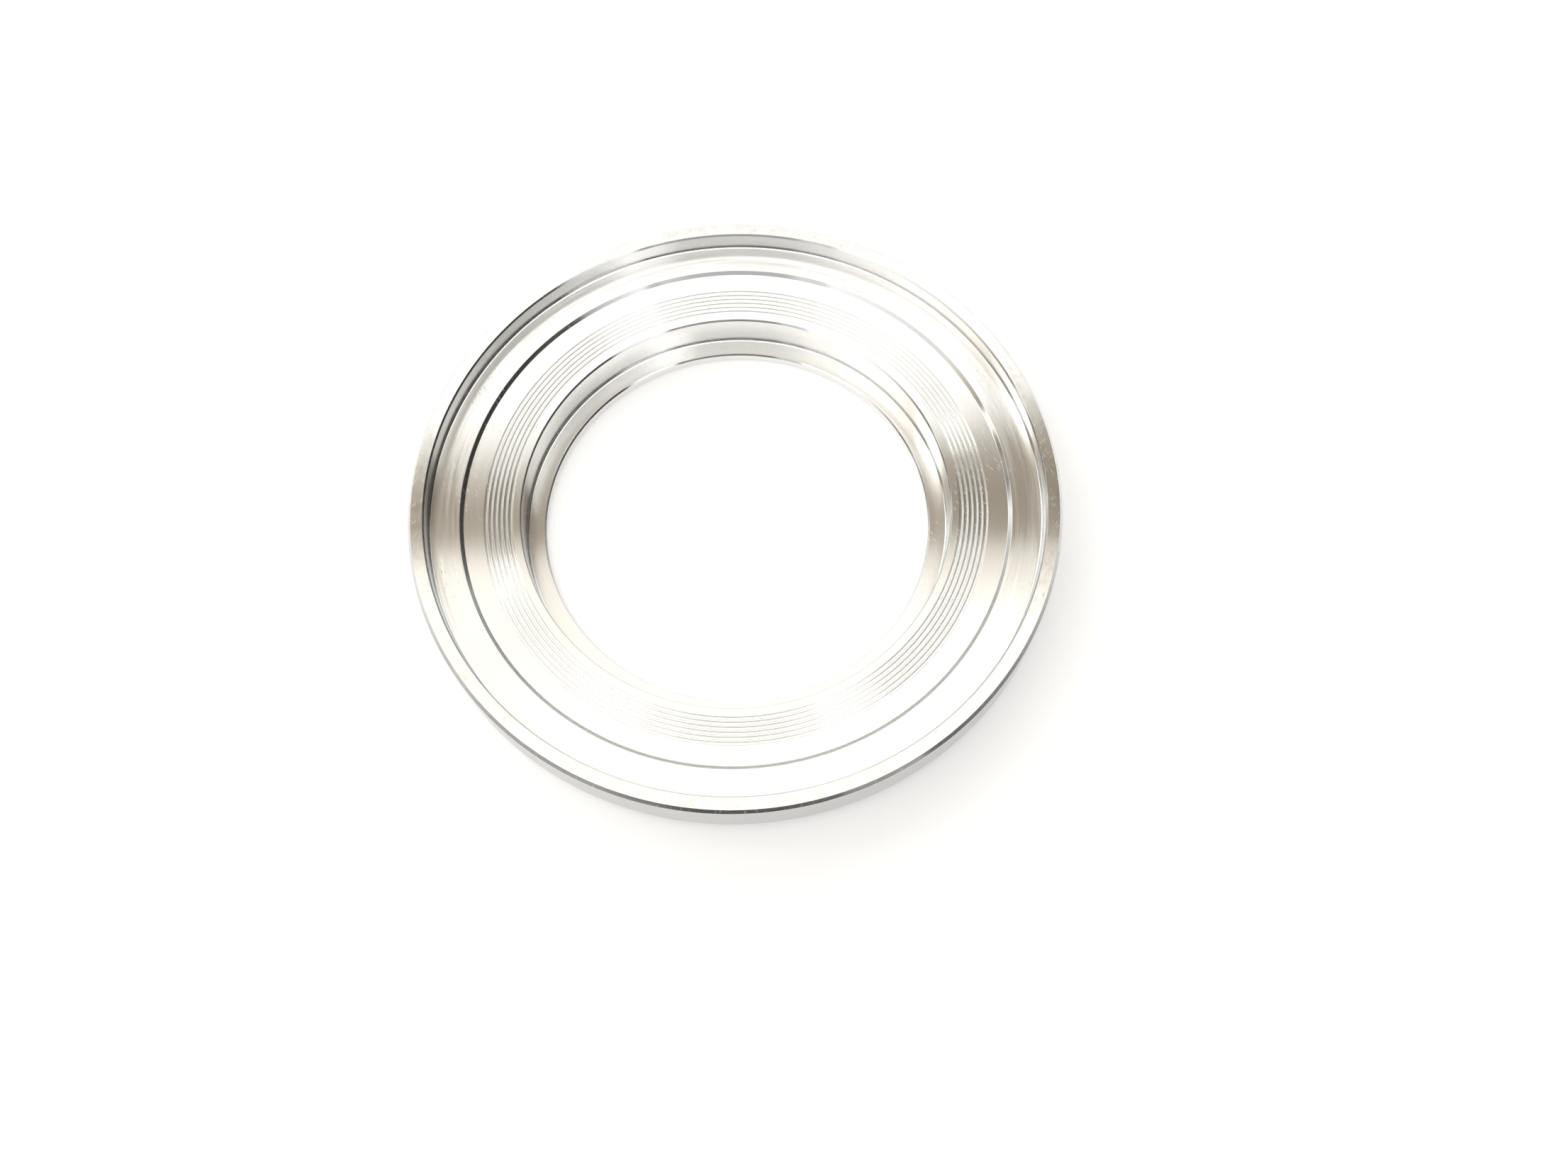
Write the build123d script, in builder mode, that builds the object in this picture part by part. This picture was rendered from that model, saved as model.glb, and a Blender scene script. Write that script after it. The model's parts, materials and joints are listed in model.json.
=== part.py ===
"""A turned aluminium ring: raised rim, stepped and grooved face, deep centre recess, open bore.

Millimetres. +Z is the ring's axis and points up, out of the grooved face. The origin is the
middle of the underside, on which the ring lies.
"""

import os

from build123d import *

# ---------------------------------------------------------------- driving dimensions, mm
outer_diameter = 100.0
total_height = 11.0

# Levels are depths below the top of the rim.
outer_wall_depth = 6.6      # the upright outer wall ends here, and the underside bevel starts
turned_face_depth = 3.2     # the wide turned face inside the rim
grooved_face_depth = 3.7    # the smooth face that carries the grooves
ledge_depth = 9.4           # the narrow ledge at the foot of the centre recess

# Radii of the upright walls and of the sloping step between the two faces.
rim_inner_radius = 47.5
step_outer_radius = 42.75
step_inner_radius = 42.2
recess_radius = 33.3
bore_radius = 30.3

# The fine concentric grooves, counted from the inside out. Their walls are steep.
groove_count = 6
first_groove_radius = 34.98
groove_pitch = 0.764
groove_width = 0.52
groove_bottom_width = 0.32
groove_depth = 0.2

# Edges and corners, as a lathe leaves them.
outer_edge_break = 0.45
wall_edge_break = 0.25
bore_edge_break = 0.25
corner_radius = 0.4

# ---------------------------------------------------------------- worked out from those
outer_radius = outer_diameter / 2
bevel_height = total_height - outer_wall_depth
underside_radius = outer_radius - bevel_height      # a 45 degree bevel
turned_face_z = total_height - turned_face_depth
grooved_face_z = total_height - grooved_face_depth
ledge_z = total_height - ledge_depth

os.makedirs("parts", exist_ok=True)


def circle_at(part, radius, height):
    """The part's round edge of this radius at this height."""
    for edge in part.edges().filter_by(GeomType.CIRCLE):
        if abs(edge.radius - radius) < 0.01 and abs(edge.arc_center.Z - height) < 0.01:
            return edge
    raise ValueError(f"no round edge of radius {radius} at height {height}")


# ---------------------------------------------------------------- the ring
with BuildPart() as stepped_ring:

    # The stepped section, from the bore out, turned about the axis.
    with BuildSketch(Plane.XZ) as section:
        with BuildLine() as outline:
            Polyline(
                (bore_radius, 0),
                (bore_radius, ledge_z),
                (recess_radius, ledge_z),
                (recess_radius, grooved_face_z),
                (step_inner_radius, grooved_face_z),
                (step_outer_radius, turned_face_z),
                (rim_inner_radius, turned_face_z),
                (rim_inner_radius, total_height),
                (outer_radius, total_height),
                (outer_radius, bevel_height),
                (underside_radius, 0),
                close=True,
            )
        make_face()
    revolve(axis=Axis.Z)

    # The feet of the two upright walls keep the round of the tool's nose.
    rim_foot = circle_at(stepped_ring, rim_inner_radius, turned_face_z)
    recess_foot = circle_at(stepped_ring, recess_radius, ledge_z)
    fillet([rim_foot, recess_foot], radius=corner_radius)

    # Sharp edges are broken.
    chamfer(circle_at(stepped_ring, outer_radius, total_height), length=outer_edge_break)
    rim_edge = circle_at(stepped_ring, rim_inner_radius, total_height)
    recess_edge = circle_at(stepped_ring, recess_radius, grooved_face_z)
    chamfer([rim_edge, recess_edge], length=wall_edge_break)
    chamfer(circle_at(stepped_ring, bore_radius, ledge_z), length=bore_edge_break)

    # Fine concentric grooves, one plunge of a narrow tool after another across the face.
    with BuildSketch(Plane.XZ) as groove_sections:
        for number in range(groove_count):
            groove_radius = first_groove_radius + number * groove_pitch
            with Locations((groove_radius, grooved_face_z)):
                Polygon(
                    (-groove_width / 2, 0),
                    (-groove_bottom_width / 2, -groove_depth),
                    (groove_bottom_width / 2, -groove_depth),
                    (groove_width / 2, 0),
                    align=None,
                )
    revolve(axis=Axis.Z, mode=Mode.SUBTRACT)

stepped_ring.part.label = "stepped_ring"
export_step(stepped_ring.part, "parts/stepped_ring.step")
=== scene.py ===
"""A turned aluminium ring lying on a pale floor, in metres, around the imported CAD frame."""

import json
import math

import bpy
from mathutils import Matrix, Vector


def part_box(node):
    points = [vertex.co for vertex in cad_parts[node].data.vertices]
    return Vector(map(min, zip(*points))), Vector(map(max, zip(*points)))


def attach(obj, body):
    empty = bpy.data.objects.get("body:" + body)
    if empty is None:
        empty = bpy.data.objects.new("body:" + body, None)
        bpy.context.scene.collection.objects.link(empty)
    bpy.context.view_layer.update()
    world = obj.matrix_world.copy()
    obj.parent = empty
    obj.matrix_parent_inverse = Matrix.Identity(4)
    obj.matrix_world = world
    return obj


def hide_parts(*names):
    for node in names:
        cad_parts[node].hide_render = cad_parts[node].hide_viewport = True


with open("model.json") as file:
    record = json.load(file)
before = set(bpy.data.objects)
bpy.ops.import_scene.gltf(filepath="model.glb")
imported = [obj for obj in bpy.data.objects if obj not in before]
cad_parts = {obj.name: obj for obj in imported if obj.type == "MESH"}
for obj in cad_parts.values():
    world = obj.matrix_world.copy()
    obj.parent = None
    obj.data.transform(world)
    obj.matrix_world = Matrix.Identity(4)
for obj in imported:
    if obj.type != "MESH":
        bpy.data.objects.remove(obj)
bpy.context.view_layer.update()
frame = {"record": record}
mm = 0.001

# ------------------------------------------------------------------------------------------
# The ring: one piece of aluminium, faced, bored and grooved in a lathe, with its sharp edges
# broken by the tool. It replaces its CAD node with the same section, turned far more finely.
# ------------------------------------------------------------------------------------------
ring_low, ring_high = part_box("stepped_ring")
rim_z = ring_high[2]
outer_radius = (ring_high[0] - ring_low[0]) / 2
mounts = {mount["name"]: mount for mount in frame["record"]["mounts"]}
bore_radius = mounts["bore"]["dims"]["r_mm"] * mm
recess_radius = mounts["recess"]["dims"]["r_mm"] * mm
rim_inner_radius = mounts["rim_register"]["dims"]["r_mm"] * mm
ledge_z = mounts["ledge"]["pos_m"][2]

# Depths below the top of the rim, and the radii of the sloping step between the two faces.
outer_wall_depth = 6.6 * mm
turned_face_depth = 3.2 * mm
grooved_face_depth = 3.7 * mm
step_outer_radius = 42.75 * mm
step_inner_radius = 42.2 * mm
groove_count = 6
first_groove_radius = 34.98 * mm
groove_pitch = 0.764 * mm
groove_width = 0.52 * mm
groove_bottom_width = 0.32 * mm
groove_depth = 0.2 * mm

turned_z = rim_z - turned_face_depth
grooved_z = rim_z - grooved_face_depth
bevel_z = rim_z - outer_wall_depth

# The section's corners, from the bore's foot up and out and back under: radius, height, and
# the radius of the round at that corner. The feet of the two upright walls keep the round of
# the tool's nose, the broken edges are small cones, the grooves and the step are softened by
# polishing, and every other arris is barely dulled.
outer_break = 0.45 * mm
wall_break = 0.25 * mm
foot_round = 0.4 * mm
arris_round = 0.05 * mm
groove_round = 0.14 * mm
step_round = 0.12 * mm
section_corners = [
    (bore_radius, 0, arris_round),
    (bore_radius, ledge_z - wall_break, arris_round),
    (bore_radius + wall_break, ledge_z, arris_round),
    (recess_radius, ledge_z, foot_round),
    (recess_radius, grooved_z - wall_break, arris_round),
    (recess_radius + wall_break, grooved_z, arris_round),
]
for groove in range(groove_count):
    middle = first_groove_radius + groove * groove_pitch
    section_corners += [
        (middle - groove_width / 2, grooved_z, groove_round),
        (middle - groove_bottom_width / 2, grooved_z - groove_depth, groove_round),
        (middle + groove_bottom_width / 2, grooved_z - groove_depth, groove_round),
        (middle + groove_width / 2, grooved_z, groove_round),
    ]
section_corners += [
    (step_inner_radius, grooved_z, step_round),
    (step_outer_radius, turned_z, step_round),
    (rim_inner_radius, turned_z, foot_round),
    (rim_inner_radius, rim_z - wall_break, arris_round),
    (rim_inner_radius + wall_break, rim_z, arris_round),
    (outer_radius - outer_break, rim_z, arris_round),
    (outer_radius, rim_z - outer_break, arris_round),
    (outer_radius, bevel_z, arris_round),
    (outer_radius - bevel_z, 0, arris_round),
]
arc_step = 0.06 * mm


def rounded_corner(before, corner, after, radius):
    """Points and outward normals of an arc that touches both lines at a corner."""
    a = (before - corner).normalized()
    b = (after - corner).normalized()
    half = a.angle(b) / 2
    middle = corner + (a + b).normalized() * radius / math.sin(half)
    first = (corner + a * radius / math.tan(half) - middle).normalized()
    last = (corner + b * radius / math.tan(half) - middle).normalized()
    outside = 1 if (corner - before).cross(after - corner) < 0 else -1
    steps = max(2, round(radius * first.angle(last) / arc_step))
    directions = [first.slerp(last, step / steps) for step in range(steps + 1)]
    return [(middle + direction * radius, direction * outside) for direction in directions]


section = []
for number, (radius, height, corner_round) in enumerate(section_corners):
    before = Vector(section_corners[number - 1][:2])
    after = Vector(section_corners[(number + 1) % len(section_corners)][:2])
    section += rounded_corner(before, Vector((radius, height)), after, corner_round)


def tree_socket(tree, name, kind, default=None, out=False):
    """Gives a Geometry Nodes tree a named input or output."""
    direction = "OUTPUT" if out else "INPUT"
    socket = tree.interface.new_socket(name, in_out=direction, socket_type=kind)
    if default is not None:
        socket.default_value = default
    return socket


def add_node(tree, kind, settings=None, **links):
    """Adds a node, sets its properties and inputs, and links what is given as a socket.
    An input is named with _ for each space, or numbered as i0, i1 and so on."""
    node = tree.nodes.new(kind)
    for name, value in (settings or {}).items():
        setattr(node, name, value)
    for name, value in links.items():
        numbered = name[0] == "i" and name[1:].isdigit()
        socket = node.inputs[int(name[1:]) if numbered else name.replace("_", " ")]
        if isinstance(value, bpy.types.NodeSocket):
            tree.links.new(value, socket)
        else:
            socket.default_value = value
    return node


def lathe_tree():
    """Turns a closed section, drawn in the XZ plane, about the Z axis."""
    tree = bpy.data.node_groups.new("lathe", "GeometryNodeTree")
    tree_socket(tree, "Section", "NodeSocketGeometry")
    cuts = tree_socket(tree, "Steps round", "NodeSocketInt", 360)
    finish = tree_socket(tree, "Finish", "NodeSocketMaterial")
    tree_socket(tree, "Ring", "NodeSocketGeometry", out=True)
    inputs = add_node(tree, "NodeGroupInput").outputs
    # A unit circle carries the section round, turned at each step to face outwards.
    circle = add_node(tree, "GeometryNodeCurvePrimitiveCircle",
                      Resolution=inputs["Steps round"], Radius=1.0)
    section_curve = add_node(tree, "GeometryNodeMeshToCurve", Mesh=inputs["Section"])
    swept = add_node(tree, "GeometryNodeCurveToMesh", Curve=circle.outputs["Curve"],
                     Profile_Curve=section_curve.outputs["Curve"])
    # The sweep puts the section about the circle, a unit out from the axis: draw it back in.
    place = add_node(tree, "GeometryNodeInputPosition")
    apart = add_node(tree, "ShaderNodeSeparateXYZ", Vector=place.outputs["Position"])
    flat = add_node(tree, "ShaderNodeCombineXYZ", X=apart.outputs["X"], Y=apart.outputs["Y"])
    length = add_node(tree, "ShaderNodeVectorMath", {"operation": "LENGTH"},
                      i0=flat.outputs["Vector"])
    outward = add_node(tree, "ShaderNodeVectorMath", {"operation": "NORMALIZE"},
                       i0=flat.outputs["Vector"])
    drawn_in = add_node(tree, "ShaderNodeMath", {"operation": "SUBTRACT"},
                        i0=length.outputs["Value"], i1=1.0)
    turned = add_node(tree, "ShaderNodeVectorMath", {"operation": "SCALE"},
                      i0=outward.outputs["Vector"], Scale=drawn_in.outputs["Value"])
    lift = add_node(tree, "ShaderNodeCombineXYZ", Z=apart.outputs["Z"])
    final = add_node(tree, "ShaderNodeVectorMath", {"operation": "ADD"},
                     i0=turned.outputs["Vector"], i1=lift.outputs["Vector"])
    moved = add_node(tree, "GeometryNodeSetPosition", Geometry=swept.outputs["Mesh"],
                     Position=final.outputs["Vector"])
    real = add_node(tree, "GeometryNodeRealizeInstances", Geometry=moved.outputs["Geometry"])
    dressed = add_node(tree, "GeometryNodeSetMaterial", Geometry=real.outputs["Geometry"],
                       Material=inputs["Finish"])
    add_node(tree, "NodeGroupOutput", Ring=dressed.outputs["Geometry"])
    return tree, cuts.identifier, finish.identifier


def linear(hex_colour):
    """An sRGB hex colour as linear RGBA."""
    def channel(pair):
        value = int(pair, 16) / 255
        return value / 12.92 if value <= 0.04045 else ((value + 0.055) / 1.055) ** 2.4
    return tuple(channel(hex_colour[i:i + 2]) for i in (1, 3, 5)) + (1.0,)


# What the tool, polishing and later handling left on the metal, and the painted shade on the
# outside
# wall: sizes, then roughness and colour. A line's strength is 1 on the wide face, which was cut
# with a coarser feed.
feed_line_width = 0.6 * mm       # the real feed is about 0.1 mm: drawn coarser so that it shows
feed_line_length = 14 * mm       # how far round a line keeps its strength
feed_line_height = 0.006 * mm
fine_line_strength = 0.25
scratch_cell_width = 0.5 * mm    # each cell holds one scratch, about a fifth as wide and long
scratch_cell_length = 4 * mm
patch_scratch_slant = 35
rim_scratch_slant = -25
patch_size = 11 * mm             # the patches that fingers and other parts have rubbed
stain_size = 1.6 * mm
fade = 0.2 * mm                  # how far one finish takes to give way to the next
turned_roughness = 0.165
streak_polished = -0.06
streak_dull = 0.07
scratch_roughness = 0.28
patch_film = 0.1
rim_film = 0.25
clean_metal = linear("#f0f0ee")
brown_film = linear("#b8aa9a")
# A grey that darkens the outside wall: painted shade.
painted_wall_shade = linear("#dcdcdd")


def turned_aluminium():
    """Bare aluminium off the lathe. The fine feed lines run round the axis and spread every
    reflection outwards across the cut, so the flat faces show a bow tie of light and shade.
    The wide face was cut with a coarser feed and shows its lines. The rim has been handled:
    a thin brown film and short dull scratches show on it where it lies in the shade."""
    material = bpy.data.materials.new("turned_aluminium")
    material.use_nodes = True
    tree = material.node_tree
    tree.nodes.clear()
    coordinates = add_node(tree, "ShaderNodeTexCoord").outputs
    place = coordinates["Object"]
    height = add_node(tree, "ShaderNodeSeparateXYZ", Vector=place).outputs["Z"]
    flat = add_node(tree, "ShaderNodeVectorMath", {"operation": "MULTIPLY"},
                    i0=place, i1=(1, 1, 0))
    radius = add_node(tree, "ShaderNodeVectorMath", {"operation": "LENGTH"},
                      i0=flat.outputs["Vector"]).outputs["Value"]

    # Feed lines: noise that changes quickly with radius and height and slowly round the ring.
    slow = add_node(tree, "ShaderNodeVectorMath", {"operation": "SCALE"},
                    i0=place, Scale=feed_line_width / feed_line_length)
    slow_parts = add_node(tree, "ShaderNodeSeparateXYZ", Vector=slow.outputs["Vector"]).outputs
    line_place = add_node(tree, "ShaderNodeCombineXYZ", X=radius, Y=height, Z=slow_parts["X"])
    lines = add_node(tree, "ShaderNodeTexNoise", {"noise_dimensions": "4D"},
                     Vector=line_place.outputs["Vector"], W=slow_parts["Y"],
                     Scale=1 / feed_line_width, Detail=3.0, Roughness=0.6).outputs["Fac"]

    # The wide face lies between the step and the rim. Its lines are at full strength.
    past_step = add_node(tree, "ShaderNodeMapRange", i0=radius,
                         i1=step_outer_radius, i2=step_outer_radius + fade)
    before_rim = add_node(tree, "ShaderNodeMapRange", i0=radius,
                          i1=rim_inner_radius, i2=rim_inner_radius - fade)
    wide_face = add_node(tree, "ShaderNodeMath", {"operation": "MULTIPLY"},
                         i0=past_step.outputs["Result"], i1=before_rim.outputs["Result"])
    line_strength = add_node(tree, "ShaderNodeMapRange", i0=wide_face.outputs["Value"],
                             i3=fine_line_strength, i4=1.0).outputs["Result"]

    # The rim and, more lightly, some patches have been rubbed. Handling marks the faces that
    # look up, and leaves the upright walls alone.
    on_rim = add_node(tree, "ShaderNodeMapRange", i0=radius, i1=rim_inner_radius,
                      i2=rim_inner_radius + 1.5 * fade).outputs["Result"]
    patches = add_node(tree, "ShaderNodeTexNoise", Vector=place, Scale=1 / patch_size, Detail=1.0)
    in_patch = add_node(tree, "ShaderNodeMapRange", i0=patches.outputs["Fac"],
                        i1=0.52, i2=0.6).outputs["Result"]
    worn = add_node(tree, "ShaderNodeMath", {"operation": "MULTIPLY_ADD"},
                    i0=in_patch, i1=patch_film, i2=on_rim)
    upward = add_node(tree, "ShaderNodeSeparateXYZ", Vector=coordinates["Normal"]).outputs["Z"]
    on_face = add_node(tree, "ShaderNodeMapRange", i0=upward, i1=0.6, i2=0.9).outputs["Result"]
    rubbed = add_node(tree, "ShaderNodeMath", {"operation": "MULTIPLY"},
                      i0=worn.outputs["Value"], i1=on_face).outputs["Value"]

    # Short scratches, slanting one way in the patches and the other way on the rim.
    layers = []
    for slant, where in ((patch_scratch_slant, in_patch), (rim_scratch_slant, on_rim)):
        turned = add_node(tree, "ShaderNodeMapping", {"vector_type": "TEXTURE"}, Vector=place,
                          Rotation=(0, 0, math.radians(slant)),
                          Scale=(scratch_cell_width, scratch_cell_length, 1))
        cells = add_node(tree, "ShaderNodeTexVoronoi", {"voronoi_dimensions": "2D"},
                         Vector=turned.outputs["Vector"], Scale=1.0)
        marks = add_node(tree, "ShaderNodeMapRange", i0=cells.outputs["Distance"],
                         i1=0.11, i2=0.05)
        layers.append(add_node(tree, "ShaderNodeMath", {"operation": "MULTIPLY"},
                               i0=marks.outputs["Result"], i1=where).outputs["Value"])
    both = add_node(tree, "ShaderNodeMath", {"operation": "MAXIMUM"}, i0=layers[0], i1=layers[1])
    scratches = add_node(tree, "ShaderNodeMath", {"operation": "MULTIPLY"},
                         i0=both.outputs["Value"], i1=on_face).outputs["Value"]

    # Roughness: even on the smooth faces, streaky on the wide face, and dull in a scratch.
    streak = add_node(tree, "ShaderNodeMapRange", i0=lines, i1=0.3, i2=0.7,
                      i3=streak_polished, i4=streak_dull)
    streaked = add_node(tree, "ShaderNodeMath", {"operation": "MULTIPLY_ADD"},
                        i0=streak.outputs["Result"], i1=line_strength, i2=turned_roughness)
    roughness = add_node(tree, "ShaderNodeMath", {"operation": "MULTIPLY_ADD"}, i0=scratches,
                         i1=scratch_roughness, i2=streaked.outputs["Value"]).outputs["Value"]

    # Colour: clean metal, with a mottled brown film where it has been rubbed.
    mottle = add_node(tree, "ShaderNodeTexNoise", Vector=place, Scale=1 / stain_size,
                      Detail=4.0, Roughness=0.65)
    film = add_node(tree, "ShaderNodeMapRange", i0=mottle.outputs["Fac"],
                    i1=0.45, i2=0.75, i4=rim_film)
    filmed = add_node(tree, "ShaderNodeMath", {"operation": "MULTIPLY"},
                      i0=film.outputs["Result"], i1=rubbed)
    colour = add_node(tree, "ShaderNodeValToRGB", Fac=filmed.outputs["Value"])
    clean, stained = colour.color_ramp.elements
    clean.color = clean_metal
    stained.color = brown_film
    # Painted shade: the outside wall's colour is multiplied by a grey, standing in for the shadowed
    # floor it reflects.
    on_wall = add_node(tree, "ShaderNodeMapRange", i0=radius, i1=outer_radius - 0.5 * fade,
                       i2=outer_radius - 0.1 * fade).outputs["Result"]
    metal_colour = add_node(tree, "ShaderNodeMix", {"data_type": "RGBA", "blend_type": "MULTIPLY"},
                            i0=on_wall, i6=colour.outputs["Color"], i7=painted_wall_shade).outputs[2]

    # The lines stand up a little, and the tangent runs round the axis as they do.
    relief = add_node(tree, "ShaderNodeMath", {"operation": "MULTIPLY"}, i0=lines, i1=line_strength)
    bump = add_node(tree, "ShaderNodeBump", Strength=1.0, Distance=feed_line_height,
                    Height=relief.outputs["Value"])
    around = add_node(tree, "ShaderNodeTangent", {"direction_type": "RADIAL", "axis": "Z"})
    metal = add_node(tree, "ShaderNodeBsdfPrincipled", Metallic=1.0, Roughness=roughness,
                     Base_Color=metal_colour, Anisotropic=1.0, Anisotropic_Rotation=0.25,
                     Tangent=around.outputs["Tangent"], Normal=bump.outputs["Normal"])
    add_node(tree, "ShaderNodeOutputMaterial", Surface=metal.outputs["BSDF"])
    return material


def section_object(points):
    """The section as a closed loop of edges, drawn sideways for the sweep."""
    mesh = bpy.data.meshes.new("ring_section")
    corners = [(-point.x, -point.y, 0) for point, _ in points]
    edges = [(n, (n + 1) % len(points)) for n in range(len(points))]
    mesh.from_pydata(corners, edges, [])
    return bpy.data.objects.new("ring_section", mesh)


steps_round = 600
ring_finish = turned_aluminium()
lathe, steps_input, finish_input = lathe_tree()
blank = section_object(section)
bpy.context.scene.collection.objects.link(blank)
turning = blank.modifiers.new("lathe", "NODES")
turning.node_group = lathe
turning[steps_input] = steps_round
turning[finish_input] = ring_finish
evaluated = blank.evaluated_get(bpy.context.evaluated_depsgraph_get())
ring_mesh = bpy.data.meshes.new_from_object(evaluated)
blank.modifiers.clear()
bpy.data.objects.remove(blank)
ring = bpy.data.objects.new("turned_ring", ring_mesh)
bpy.context.scene.collection.objects.link(ring)

# The faces are flat and the walls upright right up to their rounds, so every vertex takes its
# normal from the section instead of the mean of the faces beside it.
ring_mesh.shade_smooth()
normals = []
for vertex in ring_mesh.vertices:
    outward = Vector((vertex.co.x, vertex.co.y)).normalized()
    across, up = section[vertex.index % len(section)][1]
    normals.append((outward.x * across, outward.y * across, up))
ring_mesh.normals_split_custom_set_from_vertices(normals)
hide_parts("stepped_ring")
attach(ring, "root")

# ------------------------------------------------------------------------------------------
# The floor: a sheet of plain white paper three metres wide. It has a faint glow of its own,
# which no real sheet has, to fill the shadows and keep it white.
# ------------------------------------------------------------------------------------------
paper_reach = 1.5
paper_glow = 0.22
floor_corners = [(-1, -1), (1, -1), (1, 1), (-1, 1)]
floor_mesh = bpy.data.meshes.new("floor")
floor_mesh.from_pydata([(x * paper_reach, y * paper_reach, 0) for x, y in floor_corners],
                       [], [(0, 1, 2, 3)])
floor = bpy.data.objects.new("floor", floor_mesh)
bpy.context.scene.collection.objects.link(floor)
paper = bpy.data.materials.new("white_paper")
paper.use_nodes = True
paper.node_tree.nodes.clear()
sheet = add_node(paper.node_tree, "ShaderNodeBsdfPrincipled", Base_Color=linear("#fafafa"),
                 Roughness=0.8, Specular_IOR_Level=0.2,
                 Emission_Color=(1, 1, 1, 1), Emission_Strength=paper_glow)
add_node(paper.node_tree, "ShaderNodeOutputMaterial", Surface=sheet.outputs["BSDF"])
floor_mesh.materials.append(paper)

# ------------------------------------------------------------------------------------------
# The studio: thirteen soft boxes hung two metres away in a nearly black room. The gap between
# the top box and the middle box is what the ring's two sides reflect as a dark bow tie. The
# boxes' places and strengths are a fit's results, rounded, with a few strengths set one by one.
# ------------------------------------------------------------------------------------------
room_wall = linear("#1f1e1c")
backdrop = linear("#fbfbfb")
daylight = linear("#fafdff")
noon_light = linear("#fffcf8")
bounce = linear("#fefeff")
lamplight = linear("#ffedd2")

world = bpy.data.worlds.new("studio")
bpy.context.scene.world = world
world.use_nodes = True
world.node_tree.nodes.clear()
# The eye sees a white backdrop behind the floor; the metal sees the room.
ray = add_node(world.node_tree, "ShaderNodeLightPath")
room = add_node(world.node_tree, "ShaderNodeBackground", Color=room_wall)
behind = add_node(world.node_tree, "ShaderNodeBackground", Color=backdrop)
seen = add_node(world.node_tree, "ShaderNodeMixShader", Fac=ray.outputs["Is Camera Ray"],
                i1=room.outputs["Background"], i2=behind.outputs["Background"])
add_node(world.node_tree, "ShaderNodeOutputWorld", Surface=seen.outputs["Shader"])


def soft_box(name, backward, rightward, radiance, distance, colour):
    """A flat rectangular light that fills these angles from straight up, as the ring sees it."""
    back = math.radians(sum(backward) / 2)
    left_edge, right_edge = (distance * math.tan(math.radians(angle)) for angle in rightward)
    light = bpy.data.lights.new(name, "AREA")
    light.shape = "RECTANGLE"
    light.size = right_edge - left_edge
    light.size_y = 2 * distance * math.tan(math.radians(backward[1] - backward[0]) / 2)
    light.energy = radiance * math.pi * light.size * light.size_y
    light.color = colour[:3]
    lamp = bpy.data.objects.new(name, light)
    lamp.matrix_world = (
        Matrix.Rotation(-back, 4, "X")
        @ Matrix.Translation(((left_edge + right_edge) / 2, 0, distance))
    )
    bpy.context.scene.collection.objects.link(lamp)
    return lamp


# Each box: where it starts and ends backward and rightward in degrees, how bright it is, how
# far it hangs in metres, and its colour. The veils are wide, and hang behind the rest.
soft_box("top_box", (-19, 23.8), (-33.5, 34), 1.0, 1.9, noon_light)
soft_box("upper_left_box", (9.7, 22), (-65, -28.5), 2.35, 2.0, daylight)
soft_box("back_box", (47, 66), (-59.5, 39.5), 2.0, 1.9, daylight)
soft_box("middle_box", (29.5, 37.3), (-58, 10.8), 1.95, 2.0, daylight)
soft_box("middle_right_box", (32.5, 40.3), (12, 33), 1.05, 2.0, daylight)
soft_box("middle_left_box", (38.4, 44.4), (-59.5, -15.5), 0.55, 2.0, daylight)
soft_box("low_left_box", (-60.5, -47.5), (-77, -26.5), 1.2, 1.9, bounce)
soft_box("low_right_box", (-65, -43.5), (23, 43.5), 1.5, 1.9, bounce)
soft_box("front_left_box", (-65.5, 7), (-63, -19), 0.72, 2.1, bounce)
soft_box("front_right_box", (-40.5, 20), (12, 26.5), 0.7, 2.1, bounce)
soft_box("front_veil", (-52, 0), (-20, 20.5), 0.72, 2.2, bounce)
soft_box("back_veil", (-26, 43.5), (-70.5, 18), 0.37, 2.2, lamplight)
soft_box("low_back_veil", (67, 84), (-52, 22.5), 0.22, 2.2, lamplight)

# ------------------------------------------------------------------------------------------
# The camera looks down on the ring from the front.
# ------------------------------------------------------------------------------------------
camera_data = bpy.data.cameras.new("camera")
camera_data.lens = 33.21
camera_data.sensor_width = 36
camera_data.clip_start = 0.01
camera = bpy.data.objects.new("camera", camera_data)
elevation = math.radians(67.26)
turn = math.radians(0.89)
roll = math.radians(-0.97)
aim = Vector((0.0075, -0.0159, rim_z))
distance = 0.2151
facing = Matrix.Rotation(turn, 4, "Z") @ Matrix.Rotation(math.pi / 2 - elevation, 4, "X")
camera.matrix_world = (
    Matrix.Translation(aim + facing @ Vector((0, 0, distance)))
    @ facing
    @ Matrix.Rotation(roll, 4, "Z")
)
bpy.context.scene.collection.objects.link(camera)
bpy.context.scene.camera = camera
bpy.context.scene.view_settings.view_transform = "Standard"
